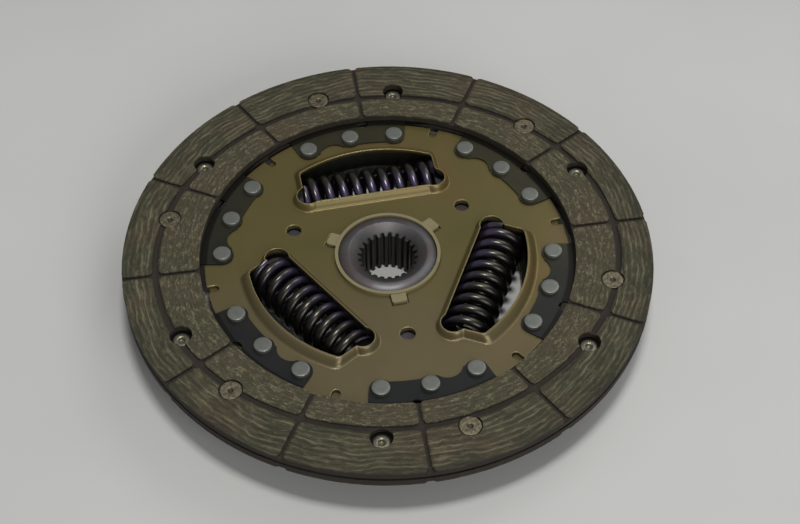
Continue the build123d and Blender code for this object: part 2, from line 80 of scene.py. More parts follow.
def srgb(red: Number, green: Number, blue: Number) -> Colour:
    """Turns display values from 0 to 255 into a linear colour.

    Args:
        red: Display value of red.
        green: Display value of green.
        blue: Display value of blue.

    Returns:
        The linear colour.
    """
    def linear(value: Number) -> float:
        """Linear value of one channel."""
        share = value / 255
        return share / 12.92 if share <= 0.04045 else ((share + 0.055) / 1.055) ** 2.4

    return linear(red), linear(green), linear(blue)


class Body(Enum):
    """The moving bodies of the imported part."""

    HUB = "hub"
    SPRINGS = "springs"
    DISC = "disc"


class Side(Enum):
    """The two faces of the disc, with the direction each looks along Z."""

    FRONT = 1
    REAR = -1


# Shader tools ------------------------------------------------------------------------------


class Signal:
    """A number that varies over a surface: a shader socket that takes Python's arithmetic."""

    def __init__(self, shader: "Shader", socket: bpy.types.NodeSocket) -> None:
        """Wraps an output socket of the shader's tree."""
        self.shader = shader
        self.socket = socket

    def combined(self, operation: str, *values: Any) -> "Signal":
        """Adds one Math node.

        Args:
            operation: The Math node's operation.
            values: The values or signals that it takes, in order.

        Returns:
            The node's result.
        """
        node = self.shader.add("ShaderNodeMath", {"operation": operation}, dict(enumerate(values)))
        return Signal(self.shader, node.outputs[0])

    def __add__(self, other: Any) -> "Signal":
        """self + other."""
        return self.combined("ADD", self, other)

    def __radd__(self, other: Any) -> "Signal":
        """other + self."""
        return self.combined("ADD", other, self)

    def __sub__(self, other: Any) -> "Signal":
        """self - other."""
        return self.combined("SUBTRACT", self, other)

    def __rsub__(self, other: Any) -> "Signal":
        """other - self."""
        return self.combined("SUBTRACT", other, self)

    def __mul__(self, other: Any) -> "Signal":
        """self * other."""
        return self.combined("MULTIPLY", self, other)

    def __rmul__(self, other: Any) -> "Signal":
        """other * self."""
        return self.combined("MULTIPLY", other, self)

    def __truediv__(self, other: Any) -> "Signal":
        """self / other."""
        return self.combined("DIVIDE", self, other)

    def __rtruediv__(self, other: Any) -> "Signal":
        """other / self."""
        return self.combined("DIVIDE", other, self)

    def __pow__(self, other: Any) -> "Signal":
        """self ** other."""
        return self.combined("POWER", self, other)

    def __neg__(self) -> "Signal":
        """-self."""
        return self.combined("MULTIPLY", self, -1.0)

    def __abs__(self) -> "Signal":
        """abs(self)."""
        return self.combined("ABSOLUTE", self)

    def angle(self, other: Any) -> "Signal":
        """Angle of a point with this as its Y and the other as its X, in radians."""
        return self.combined("ARCTAN2", self, other)

    def folded(self, length: Number) -> "Signal":
        """Distance to the nearest even multiple of the length."""
        return self.combined("PINGPONG", self, length)

    def sine(self) -> "Signal":
        """Sine of the signal, in radians."""
        return self.combined("SINE", self)

    def least(self, other: Any) -> "Signal":
        """The smaller of this and the other."""
        return self.combined("MINIMUM", self, other)

    def most(self, other: Any) -> "Signal":
        """The larger of this and the other."""
        return self.combined("MAXIMUM", self, other)

    def rise(self, low: Number, high: Number) -> "Signal":
        """A smooth step: 0 at low and before, 1 at high and past it.

        Args:
            low: Where the step starts.
            high: Where it ends, which may lie below low for a falling step.

        Returns:
            The step.
        """
        settings = {"interpolation_type": "SMOOTHSTEP", "clamp": True}
        inputs = {"Value": self, "From Min": low, "From Max": high, "To Min": 0.0, "To Max": 1.0}
        node = self.shader.add("ShaderNodeMapRange", settings, inputs)
        return Signal(self.shader, node.outputs[0])


class Nodes:
    """An empty node tree to fill, of a material or a world."""

    def __init__(self, owner: Union[bpy.types.Material, bpy.types.World]) -> None:
        """Empties the owner's tree.

        Args:
            owner: The material or world that the tree belongs to.
        """
        owner.use_nodes = True
        self.tree = owner.node_tree
        self.tree.nodes.clear()

    def add(
        self,
        kind: str,
        settings: Optional[dict[str, Any]] = None,
        inputs: Optional[dict[Union[str, int], Any]] = None,
    ) -> bpy.types.Node:
        """Adds any node.

        Args:
            kind: The node's type.
            settings: Its own settings, which are set first.
            inputs: Values, signals or sockets by the input's name, identifier or number.

        Returns:
            The node.
        """
        node = self.tree.nodes.new(kind)
        for setting, value in (settings or {}).items():
            setattr(node, setting, value)
        for key, value in (inputs or {}).items():
            self.feed(self.input_of(node, key), value)
        return node

    @staticmethod
    def input_of(node: bpy.types.Node, key: Union[str, int]) -> bpy.types.NodeSocket:
        """Finds one of a node's inputs.

        Args:
            node: The node.
            key: The input's identifier, name or number.

        Returns:
            The input.
        """
        for socket in node.inputs:
            if socket.identifier == key:
                return socket
        return node.inputs[key]

    def feed(self, socket: bpy.types.NodeSocket, value: Any) -> None:
        """Links or sets an input.

        Args:
            socket: The input.
            value: A signal or socket to link to it, or a plain value to set on it.
        """
        if isinstance(value, Signal):
            self.tree.links.new(value.socket, socket)
        elif isinstance(value, bpy.types.NodeSocket):
            self.tree.links.new(value, socket)
        elif isinstance(value, tuple) and socket.type == "RGBA":
            socket.default_value = (*value, 1.0)
        else:
            socket.default_value = value


class Shader(Nodes):
    """One material's node tree, with a Principled surface that the finishes fill in."""

    def __init__(self, name: str) -> None:
        """Starts an empty material.

        Args:
            name: The material's name.
        """
        self.material = bpy.data.materials.new(name)
        super().__init__(self.material)
        self.surface = self.add("ShaderNodeBsdfPrincipled")
        self.add("ShaderNodeOutputMaterial", inputs={"Surface": self.surface.outputs[0]})
        self.place = self.add("ShaderNodeTexCoord").outputs["Object"]
        parts = self.add("ShaderNodeSeparateXYZ", inputs={0: self.place})
        self.x, self.y, self.z = (Signal(self, parts.outputs[axis]) for axis in range(3))

    def from_axis(self) -> Signal:
        """Distance from the disc's axis."""
        return (self.x * self.x + self.y * self.y) ** 0.5

    def vector(self, x: Any, y: Any, z: Any) -> bpy.types.NodeSocket:
        """A vector of three signals or numbers."""
        return self.add("ShaderNodeCombineXYZ", inputs={0: x, 1: y, 2: z}).outputs[0]

    def noise(
        self,
        scale: float,
        detail: float = 2.0,
        roughness: float = 0.5,
        at: Optional[bpy.types.NodeSocket] = None,
        distortion: float = 0.0,
    ) -> Signal:
        """Fractal noise from 0 to 1.

        Args:
            scale: Features per unit of the vector, which is metres unless at is given.
            detail: Number of finer layers.
            roughness: Weight of the finer layers.
            at: Vector to read the noise at, instead of the place on the object.
            distortion: How far the noise is folded into itself.

        Returns:
            The noise.
        """
        inputs = {
            "Vector": at or self.place,
            "Scale": scale,
            "Detail": detail,
            "Roughness": roughness,
            "Distortion": distortion,
        }
        return Signal(self, self.add("ShaderNodeTexNoise", inputs=inputs).outputs[0])

    def blend(self, share: Any, first: Any, second: Any, kind: str = "MIX") -> bpy.types.NodeSocket:
        """Mixes two colours.

        Args:
            share: How much of the second colour shows, from 0 to 1.
            first: A colour or a colour socket.
            second: A colour or a colour socket.
            kind: The Mix node's blend type.

        Returns:
            The mixed colour's socket.
        """
        settings = {"data_type": "RGBA", "blend_type": kind, "clamp_factor": True}
        inputs = {"Factor_Float": share, "A_Color": first, "B_Color": second}
        node = self.add("ShaderNodeMix", settings, inputs)
        return next(socket for socket in node.outputs if socket.identifier == "Result_Color")

    def relief(
        self,
        height: Signal,
        depth: float,
        strength: float = 1.0,
        over: Optional[bpy.types.NodeSocket] = None,
    ) -> bpy.types.NodeSocket:
        """A bumped normal from a height signal.

        Args:
            height: The height, where 1 is depth metres up.
            depth: Metres that one unit of height stands for.
            strength: Strength of the bump, from 0 to 1.
            over: A normal that the bumps lie on, instead of the surface's own.

        Returns:
            The normal's socket.
        """
        inputs = {"Strength": strength, "Distance": depth, "Height": height}
        if over is not None:
            inputs["Normal"] = over
        return self.add("ShaderNodeBump", inputs=inputs).outputs[0]

    def normal(self) -> bpy.types.NodeSocket:
        """The surface's own normal."""
        return self.add("ShaderNodeNewGeometry").outputs["Normal"]

    def along_normal(self, direction: bpy.types.NodeSocket) -> Signal:
        """How far the surface's normal points in a direction.

        Args:
            direction: The direction, of length 1.

        Returns:
            1 straight along the direction, -1 straight against it.
        """
        inputs = {0: direction, 1: self.normal()}
        node = self.add("ShaderNodeVectorMath", {"operation": "DOT_PRODUCT"}, inputs)
        return Signal(self, node.outputs["Value"])

    def soft_edges(self, radius: float) -> tuple[bpy.types.NodeSocket, Signal]:
        """Rounds the sharp edges in the shading.

        Args:
            radius: Radius of the rounding.

        Returns:
            The rounded normal, and a signal that is 0 on flats and grows to 1 on an edge.
        """
        rounded_normal = self.add("ShaderNodeBevel", {"samples": 6}, {"Radius": radius}).outputs[0]
        flat_above, edge_below = 0.99, 0.86
        return rounded_normal, self.along_normal(rounded_normal).rise(flat_above, edge_below)

    def facing_up(self) -> Signal:
        """How far the surface faces up: 1 straight up, -1 straight down."""
        parts = self.add("ShaderNodeSeparateXYZ", inputs={0: self.normal()})
        return Signal(self, parts.outputs[2])

    def facing_in(self) -> Signal:
        """How far the surface faces the disc's axis.

        Returns:
            1 straight at it, -1 straight away.
        """
        flat = self.vector(self.x, self.y, 0.0)
        node = self.add("ShaderNodeVectorMath", {"operation": "NORMALIZE"}, {0: flat})
        return -self.along_normal(node.outputs[0])

    def dress(self, **sockets: Any) -> bpy.types.Material:
        """Fills in the Principled surface.

        Args:
            sockets: Signals, sockets or values by the input's name, with underscores for spaces.

        Returns:
            The material.
        """
        for name, value in sockets.items():
            title = name.replace("_", " ").title().replace("Ior", "IOR")
            self.feed(self.surface.inputs[title], value)
        return self.material


# Finishes ----------------------------------------------------------------------------------


@dataclass(frozen=True)
class FrictionLining:
    """Wound and pressed friction facing: olive brown, with yarn streaks round the disc, and painted
    shade on and along its grooves.
    """

    name: str
    face: float
    side: Side
    outer_radius: float
    oval_mean: float = 95.1 * MM
    oval_swing: float = 3.3 * MM
    oval_clock: float = 10.0
    oval_half: float = 1.3 * MM
    radial_clock: float = 98.7
    radial_step: float = 30.0
    radial_half: float = 0.8 * MM
    groove_depth: float = 1.2 * MM
    edge_shade_width: float = 0.9 * MM
    yarn_pitch: float = 2.3 * MM
    rim_width: float = 6.0 * MM
    relief_depth: float = 0.4 * MM
    patch_scale: float = 38.0
    crinkle_scale: float = 560.0
    grain_scale: float = 1700.0
    olive: Colour = srgb(64, 62, 45)
    green: Colour = srgb(54, 59, 43)
    brown: Colour = srgb(71, 63, 48)
    tan: Colour = srgb(106, 101, 79)
    brass: Colour = srgb(126, 119, 88)
    dark: Colour = srgb(38, 35, 27)
    groove: Colour = srgb(43, 37, 33)

    def build(self) -> bpy.types.Material:
        """Makes the material.

        Returns:
            The material.
        """
        s = Shader(self.name)
        radius = s.from_axis()
        along_x = s.x / radius
        along_y = s.y / radius

        # The yarn's line: the distance from the axis, which wanders.
        wide = (s.noise(30.0, 2.0) - 0.5) * 9.0 * MM
        narrow = (s.noise(150.0, 2.0) - 0.5) * 1.5 * MM
        line = radius + (wide + narrow)

        def streaks(turns: float, across: float, detail: float, rough: float = 0.5) -> Signal:
            """Noise drawn out along the yarn: turns sets its length and across its width."""
            spot = s.vector(along_x * turns, along_y * turns, line * across)
            return s.noise(1.0, detail, rough, at=spot)

        # The grooves: how far the oval and the radial ones are, and how deep this place lies.
        cosine = math.cos(math.radians(self.oval_clock))
        sine = math.sin(math.radians(self.oval_clock))
        reach = along_x * cosine + along_y * sine
        oval = reach * reach * (2 * self.oval_swing) + (self.oval_mean - self.oval_swing)
        inner_band = (radius - oval).rise(1.0 * MM, -1.0 * MM)
        step = math.radians(self.radial_step)
        turn = s.y.angle(s.x) / step - self.radial_clock / self.radial_step
        past_radial = turn.folded(0.5) * step * radius - self.radial_half
        past_groove = past_radial.least(abs(radius - oval) - self.oval_half)
        depth = (self.face - s.z) * float(self.side.value)
        groove_floor_shade = depth.rise(0.25 * self.groove_depth, 0.85 * self.groove_depth)

        # The layers, from broad patches down to single fibres and grains.
        patches = s.noise(self.patch_scale, 3.0, 0.55)
        row = (line * (WHOLE_TURN / self.yarn_pitch)).sine() * 0.5 + 0.5
        broad = streaks(7.0, 330.0, 2.0)
        strands = streaks(20.0, 900.0, 3.0, 0.6)
        fibres = streaks(46.0, 2300.0, 3.0, 0.65)
        crinkle = s.noise(self.crinkle_scale, 4.0, 0.72, distortion=1.0)
        grain = s.noise(self.grain_scale, 3.0, 0.65)
        # Near a groove's edge: painted shade in the colour, and a dip in the bump.
        edge = past_groove.rise(self.edge_shade_width, 0.0)
        outer_band = 1.0 - inner_band
        rim = radius.rise(self.outer_radius - self.rim_width, self.outer_radius)

        # The colours, from the ground up to the gleam of single fibres.
        ground = s.blend(patches.rise(0.36, 0.64), self.olive, self.brown)
        greener = (outer_band * 0.35 + rim * 0.5) * patches.rise(0.62, 0.4)
        ground = s.blend(greener, ground, self.green)
        valleys = (1.0 - row) * broad.rise(0.6, 0.42) * (outer_band * 0.4 + 0.15)
        ground = s.blend(valleys, ground, self.dark)
        ground = s.blend(fibres.rise(0.5, 0.34) * 0.5, ground, self.dark)
        ground = s.blend(grain.rise(0.48, 0.3) * 0.4, ground, self.dark)
        light = row.rise(0.5, 0.95) * broad.rise(0.4, 0.58) * (strands.rise(0.4, 0.56) * 0.7 + 0.3)
        ground = s.blend(light * (outer_band * 0.5 + 0.2), ground, self.tan)
        ground = s.blend(strands.rise(0.53, 0.66) * fibres.rise(0.36, 0.56) * 0.5, ground, self.tan)
        flecks = strands.rise(0.46, 0.6) * crinkle.rise(0.47, 0.6)
        ground = s.blend(flecks * (inner_band * 0.6 + 0.2), ground, self.tan)
        gleam = fibres.rise(0.5, 0.64) * crinkle.rise(0.52, 0.66) * (inner_band * 0.7 + 0.15)
        ground = s.blend(gleam, ground, self.brass)
        # Painted shade along the groove edges, where their rounded lips would fall into shade.
        ground = s.blend(edge * (1.0 - crinkle.rise(0.35, 0.62) * 0.6) * 0.55, ground, self.dark)
        ground = s.blend(rim * 0.35, ground, self.dark)
        # Painted shade on the groove floors, darker with depth below the face.
        ground = s.blend(groove_floor_shade * 0.9, ground, self.groove)
        height = light * 0.35 + row * 0.2 + strands * 0.5 + fibres * 0.3
        height = height + crinkle * 0.4 + grain * 0.1 - edge * 0.8
        return s.dress(
            base_color=ground,
            roughness=0.72 + crinkle * 0.22,
            normal=s.relief(height, self.relief_depth, 0.9),
            specular_ior_level=0.3,
        )


@dataclass(frozen=True)
class GoldChromate:
    """Satin yellow passivated zinc on pressed steel, with drifts of orange, pink and green, a
    painted pink reflection towards the front, edges lightened partly by wear and partly as painted
    highlight, and, for the rear plate, painted shade on its inner faces.
    """

    name: str
    shade_inside: bool
    gold: Colour = srgb(102, 92, 54)
    amber: Colour = srgb(110, 91, 55)
    green: Colour = srgb(90, 88, 47)
    pink: Colour = srgb(104, 94, 70)
    inner: Colour = srgb(50, 51, 42)
    worn_and_highlight: Colour = srgb(190, 176, 128)
    edge_radius: float = 0.8 * MM
    reflection_from: float = 5.0 * MM
    reflection_to: float = -50.0 * MM
    reflection_drift: float = 60.0 * MM
    shade_within: float = 70.0 * MM
    shade_fade: float = 4.0 * MM

    def build(self) -> bpy.types.Material:
        """Makes the material.

        Returns:
            The material.
        """
        s = Shader(self.name)
        drift = s.noise(22.0, 2.0, 0.5, distortion=0.6)
        cloud = s.noise(46.0, 3.0, 0.55, distortion=0.4)
        grain = s.noise(1400.0, 2.0, 0.6)
        rolled = s.noise(1.0, 3.0, 0.6, at=s.vector(s.x * 2600.0, s.y * 90.0, s.z * 90.0))
        normal, edge = s.soft_edges(self.edge_radius)
        coat = s.blend(drift.rise(0.5, 0.75) * 0.6, self.gold, self.amber)
        coat = s.blend(drift.rise(0.48, 0.3) * 0.5, coat, self.green)
        # Painted reflection: the coat turns pink towards the front; the pink clouds are the coat's
        # own tone.
        front_reflection = (s.y + (drift - 0.5) * self.reflection_drift).rise(self.reflection_from, self.reflection_to)
        coat = s.blend((front_reflection * 0.75).most(cloud.rise(0.58, 0.76) * 0.4), coat, self.pink)
        # Lighter edges and bends: partly worn coat, partly painted highlight.
        coat = s.blend(edge * 0.4, coat, self.worn_and_highlight)
        # Painted shade on the rear plate's inner, front-facing faces within the rivet circle.
        if self.shade_inside:
            within = s.from_axis().rise(self.shade_within + self.shade_fade, self.shade_within)
            coat = s.blend(s.facing_up().rise(-0.6, 0.0) * within, coat, self.inner)
        return s.dress(
            base_color=coat,
            metallic=0.55,
            roughness=0.3 + cloud * 0.12 + grain * 0.05,
            normal=s.relief(grain * 0.5 + rolled * 0.5, 0.02 * MM, 0.35, normal),
        )


@dataclass(frozen=True)
class MetalFinish:
    """A metal with two drifting tones, a fine grain and scattered marks."""

    name: str
    tone: Colour
    second: Colour
    mark: Colour
    roughness: float = 0.38
    metallic: float = 1.0
    drift_scale: float = 120.0
    grain_depth: float = 0.02 * MM
    mark_share: float = 0.4
    edge_radius: float = 0.3 * MM
    edge_light: float = 0.25
    edge_gain: float = 2.2

    def build(self) -> bpy.types.Material:
        """Makes the material.

        Returns:
            The material.
        """
        s = Shader(self.name)
        drift = s.noise(self.drift_scale, 3.0, 0.55, distortion=0.3)
        grain = s.noise(FINE_GRAIN, 3.0, 0.6)
        spots = s.noise(self.drift_scale * 4.0, 4.0, 0.65)
        skin = s.blend(drift.rise(0.35, 0.65), self.tone, self.second)
        skin = s.blend(spots.rise(0.56, 0.74) * self.mark_share, skin, self.mark)
        normal, edge = s.soft_edges(self.edge_radius)
        bright = tuple(min(1.0, channel * self.edge_gain) for channel in self.tone)
        skin = s.blend(edge * self.edge_light, skin, bright)
        return s.dress(
            base_color=skin,
            metallic=self.metallic,
            roughness=self.roughness + (drift - 0.5) * 0.14 + (grain - 0.5) * 0.12,
            normal=s.relief(grain * 0.7 + spots * 0.3, self.grain_depth, 0.5, normal),
        )


@dataclass(frozen=True)
class CushionSteel:
    """Dark rolled spring steel, with painted light that makes it olive and lighter towards the back
    and bluish and darker towards the front, and painted shade next to the facings.
    """

    name: str = "cushion_steel"
    olive: Colour = srgb(70, 68, 52)
    blue: Colour = srgb(47, 48, 48)
    mark: Colour = srgb(40, 39, 36)
    facing_shade: Colour = srgb(26, 25, 22)
    blue_at: float = -60.0 * MM
    olive_at: float = 80.0 * MM
    tone_drift: float = 80.0 * MM
    facing_shade_from: float = 76.6 * MM
    facing_shade_fade: float = 0.8 * MM

    def build(self) -> bpy.types.Material:
        """Makes the material.

        Returns:
            The material.
        """
        s = Shader(self.name)
        drift = s.noise(60.0, 3.0, 0.55, distortion=0.3)
        grain = s.noise(FINE_GRAIN, 3.0, 0.6)
        spots = s.noise(260.0, 4.0, 0.65)
        # Painted light: olive and lighter towards the back, bluish and darker towards the front.
        far = (s.y + (drift - 0.5) * self.tone_drift).rise(self.blue_at, self.olive_at)
        skin = s.blend(far, self.blue, self.olive)
        skin = s.blend(spots.rise(0.56, 0.74) * 0.35, skin, self.mark)
        # Painted shade where the plate runs in next to and under the facings.
        shade_near_facings = s.from_axis().rise(self.facing_shade_from, self.facing_shade_from + self.facing_shade_fade)
        skin = s.blend(shade_near_facings * 0.8, skin, self.facing_shade)
        return s.dress(
            base_color=skin,
            metallic=0.8,
            roughness=0.37 + (drift - 0.5) * 0.12 + (grain - 0.5) * 0.1,
            normal=s.relief(grain * 0.7 + spots * 0.3, 0.02 * MM, 0.5),
        )


@dataclass(frozen=True)
class RivetBrass:
    """Mottled brass, dull on the head and burnished where the tail was rolled over, with painted
    shade in the head's dimple.
    """

    name: str
    face: float
    side: Side
    tone: Colour = srgb(122, 116, 94)
    dull: Colour = srgb(88, 82, 65)
    dark: Colour = srgb(56, 51, 41)
    burnished: Colour = srgb(130, 126, 110)
    dimple_shade_from: float = 0.2 * MM
    dimple_shade_full: float = 0.55 * MM
    burnished_from: float = 3.0 * MM
    burnished_fade: float = 0.4 * MM

    def build(self) -> bpy.types.Material:
        """Makes the material.

        Returns:
            The material.
        """
        s = Shader(self.name)
        mottle = s.noise(700.0, 3.0, 0.6)
        grain = s.noise(FINE_GRAIN, 3.0, 0.6)
        depth = (self.face - s.z) * float(self.side.value)
        tail = depth.rise(self.burnished_from, self.burnished_from + self.burnished_fade)
        skin = s.blend(mottle.rise(0.38, 0.62), self.dull, self.tone)
        skin = s.blend(tail * 0.8, skin, self.burnished)
        # Painted shade in the dimple, darker with depth.
        dimple = depth.rise(self.dimple_shade_from, self.dimple_shade_full) * (1.0 - tail)
        skin = s.blend(dimple * 0.85, skin, self.dark)
        skin = s.blend(grain.rise(0.52, 0.68) * 0.7, skin, self.dark)
        return s.dress(
            base_color=skin,
            metallic=0.7,
            roughness=0.48 - tail * 0.1 + (grain - 0.5) * 0.2,
            normal=s.relief(mottle * 0.7 + grain * 0.3, 0.16 * MM, 0.7),
        )


@dataclass(frozen=True)
class HubSteel:
    """Forged and turned steel, darker towards its splines."""

    name: str = "forged_steel"
    pale: Colour = srgb(94, 93, 95)
    warm: Colour = srgb(88, 80, 80)
    dark_inner: Colour = srgb(46, 45, 43)
    bore: float = 10.5 * MM
    rim: float = 18.0 * MM
    dark_drift: float = 5.0 * MM
    tool_marks: float = 3200.0
    edge_radius: float = 0.7 * MM

    def build(self) -> bpy.types.Material:
        """Makes the material.

        Returns:
            The material.
        """
        s = Shader(self.name)
        drift = s.noise(110.0, 3.0, 0.55, distortion=0.3)
        radius = s.from_axis()
        spot = s.vector(radius * self.tool_marks, s.z * self.tool_marks, drift * 2.0)
        turned_marks = s.noise(1.0, 3.0, 0.6, at=spot)
        grain = s.noise(FINE_GRAIN, 3.0, 0.6)
        skin = s.blend(drift.rise(0.4, 0.62), self.pale, self.warm)
        # Darker towards the bore and its splines.
        toward_rim = (radius + (drift - 0.5) * self.dark_drift).rise(self.bore, self.rim)
        skin = s.blend((1.0 - toward_rim) * 0.85, skin, self.dark_inner)
        normal, _ = s.soft_edges(self.edge_radius)
        return s.dress(
            base_color=skin,
            metallic=0.7,
            roughness=0.46 + (drift - 0.5) * 0.12 + (grain - 0.5) * 0.1,
            normal=s.relief(turned_marks * 0.5 + grain * 0.5, 0.03 * MM, 0.5, normal),
        )


@dataclass(frozen=True)
class TemperedWire:
    """Oil-tempered spring wire: almost black, with lilac towards the hub that is partly tempering
    colour and partly painted reflection, and a painted straw highlight on the crests.
    """

    name: str = "coil_steel"
    black: Colour = srgb(54, 52, 48)
    scale: Colour = srgb(42, 41, 38)
    lilac: Colour = srgb(112, 102, 134)
    straw_highlight: Colour = srgb(118, 114, 101)

    def build(self) -> bpy.types.Material:
        """Makes the material.

        Returns:
            The material.
        """
        s = Shader(self.name)
        drift = s.noise(200.0, 3.0, 0.55)
        grain = s.noise(1800.0, 3.0, 0.6)
        # Lilac where the wire faces the hub: partly tempering colour, partly painted reflection.
        temper_and_reflection = (s.facing_in() + (drift - 0.5) * 0.8).rise(-0.1, 0.8)
        skin = s.blend(drift.rise(0.4, 0.65), self.black, self.scale)
        skin = s.blend(temper_and_reflection * 0.8, skin, self.lilac)
        # Painted highlight: a straw tone along the upward-facing crests of the coils.
        crest_highlight = (s.facing_up() + (drift - 0.5) * 0.15).rise(0.72, 1.0)
        skin = s.blend(crest_highlight * (1.0 - temper_and_reflection) * 0.3, skin, self.straw_highlight)
        return s.dress(
            base_color=skin,
            metallic=0.92,
            roughness=0.31 + (grain - 0.5) * 0.12,
            normal=s.relief(grain, 0.015 * MM, 0.4),
        )


@dataclass(frozen=True)
class CreamPlastic:
    """Moulded pale yellow plastic, slightly translucent and a little soiled."""

    name: str = "cream_plastic"
    cream: Colour = srgb(120, 112, 80)
    soiled: Colour = srgb(98, 90, 66)

    def build(self) -> bpy.types.Material:
        """Makes the material.

        Returns:
            The material.
        """
        s = Shader(self.name)
        soil = s.noise(160.0, 4.0, 0.6)
        grain = s.noise(2200.0, 2.0)
        return s.dress(
            base_color=s.blend(soil.rise(0.5, 0.78) * 0.7, self.cream, self.soiled),
            roughness=0.42 + soil * 0.2,
            normal=s.relief(grain, 0.015 * MM, 0.4),
        )


@dataclass(frozen=True)
class WasherCompound:
    """Pressed brown friction washer with a fibrous face."""

    name: str = "washer_compound"
    brown: Colour = srgb(74, 60, 50)
    fibre: Colour = srgb(128, 108, 82)

    def build(self) -> bpy.types.Material:
        """Makes the material.

        Returns:
            The material.
        """
        s = Shader(self.name)
        fibres = s.noise(700.0, 4.0, 0.7, distortion=1.2)
        return s.dress(
            base_color=s.blend(fibres.rise(0.5, 0.68) * 0.7, self.brown, self.fibre),
            roughness=0.8 + fibres * 0.15,
            normal=s.relief(fibres, 0.1 * MM, 0.6),
        )


@dataclass(frozen=True)
class PaleGround:
    """The plain pale floor."""

    name: str = "pale_ground"
    tone: Colour = srgb(186, 186, 184)
    pale_gain: float = 1.06

    def build(self) -> bpy.types.Material:
        """Makes the material.

        Returns:
            The material.
        """
        s = Shader(self.name)
        cloth = s.noise(6.0, 3.0, 0.5)
        paler = tuple(channel * self.pale_gain for channel in self.tone)
        return s.dress(base_color=s.blend(cloth.rise(0.3, 0.7), self.tone, paler), roughness=0.9)


RIVET_STEEL = MetalFinish(
    name="rivet_steel",
    tone=srgb(113, 115, 110),
    second=srgb(105, 107, 102),
    mark=srgb(86, 87, 82),
    roughness=0.4,
    metallic=0.5,
    drift_scale=300.0,
    edge_light=0.0,
)
BARE_STEEL = MetalFinish(
    name="bare_steel",
    tone=srgb(150, 150, 152),
    second=srgb(134, 134, 138),
    mark=srgb(100, 98, 96),
    roughness=0.34,
)
SPRING_STEEL = MetalFinish(
    name="spring_steel",
    tone=srgb(104, 106, 116),
    second=srgb(88, 90, 102),
    mark=srgb(64, 64, 70),
    roughness=0.32,
)


# Mesh tools --------------------------------------------------------------------------------


def mesh_piece(
    name: str,
    points: list[Point],
    faces: list[Face],
    material: bpy.types.Material,
    sharp_angle: float = 40.0,
) -> bpy.types.Object:
    """Makes a smooth-shaded mesh object in the row frame.

    Args:
        name: The piece's name.
        points: Its points, in metres.
        faces: Its faces, as point numbers seen from outside in counterclockwise order.
        material: Its finish.
        sharp_angle: Edges that turn by more than this many degrees stay sharp.

    Returns:
        The object.
    """
    mesh = bpy.data.meshes.new(name)
    mesh.from_pydata(points, [], faces)
    mesh.validate()
    mesh.shade_smooth()
    mesh.set_sharp_from_angle(angle=math.radians(sharp_angle))
    mesh.materials.append(material)
    piece = bpy.data.objects.new(name, mesh)
    bpy.context.scene.collection.objects.link(piece)
    return piece


def turned(
    outline: Outline, centre: Vector, steps: int, start: int = 0,
) -> tuple[list[Point], list[Face]]:
    """Turns a (radius, height) outline, which starts and ends on the axis, about an upright axis.

    Args:
        outline: The section, counterclockwise in the half plane of radius and height.
        centre: A point of the axis, whose height the outline's heights count from.
        steps: Number of steps round the axis.
        start: Number of the first point, when the form joins others in one mesh.

    Returns:
        Points and faces.
    """
    points: list[Point] = [(centre.x, centre.y, centre.z + outline[0][1])]
    rings = outline[1:-1]
    for step in range(steps):
        turn = WHOLE_TURN * step / steps
        for radius, height in rings:
            x = centre.x + radius * math.cos(turn)
            y = centre.y + radius * math.sin(turn)
            points.append((x, y, centre.z + height))
    points.append((centre.x, centre.y, centre.z + outline[-1][1]))
    faces: list[Face] = []
    count = len(rings)
    for step in range(steps):
        here = start + 1 + step * count
        there = start + 1 + (step + 1) % steps * count
        faces.append((start, there, here))
        for index in range(count - 1):
            faces.append((here + index, there + index, there + index + 1, here + index + 1))
        faces.append((here + count - 1, there + count - 1, start + len(points) - 1))
    return points, faces


def rounded(profile: list[tuple[float, float, float]], steps: int = 4) -> Outline:
    """Rounds the corners of a closed outline.

    Args:
        profile: Corners as (radius, height, rounding), where a rounding of 0 keeps the corner.
        steps: Number of steps on each rounding.

    Returns:
        The outline's points.
    """
    result: Outline = []
    count = len(profile)
    longest = 0.49              # Share of a side that one corner's rounding may take
    for index, (x, y, size) in enumerate(profile):
        corner = Vector((x, y))
        before = Vector(profile[index - 1][:2]) - corner
        after = Vector(profile[(index + 1) % count][:2]) - corner
        if size == 0:
            result.append((x, y))
            continue
        half = before.angle(after) / 2
        cut = min(size / math.tan(half), before.length * longest, after.length * longest)
        first, last = corner + before.normalized() * cut, corner + after.normalized() * cut
        for step in range(steps + 1):
            share = step / steps
            spot = first.lerp(corner, share).lerp(corner.lerp(last, share), share)
            result.append((spot.x, spot.y))
    return result


def ring_centres(node: str) -> list[Vector]:
    """Centres of the separate solids that a node holds round the disc.

    Args:
        node: A CAD node of solids that stand apart round the axis.

    Returns:
        The middle of each solid's box, in order round the axis.
    """
    spots = sorted(
        ((math.atan2(v.co.y, v.co.x), v.co.copy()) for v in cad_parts[node].data.vertices),
        key=lambda item: item[0],
    )
    gap = math.radians(2.0)
    groups: list[list[Vector]] = []
    for index, (angle, spot) in enumerate(spots):
        if index == 0 or angle - spots[index - 1][0] > gap:
            groups.append([])
        groups[-1].append(spot)
    if len(groups) > 1 and spots[0][0] + WHOLE_TURN - spots[-1][0] < gap:
        groups[0].extend(groups.pop())
    centres = []
    for group in groups:
        low = Vector(tuple(min(p[axis] for p in group) for axis in range(3)))
        high = Vector(tuple(max(p[axis] for p in group) for axis in range(3)))
        centres.append((low + high) / 2)
    return centres


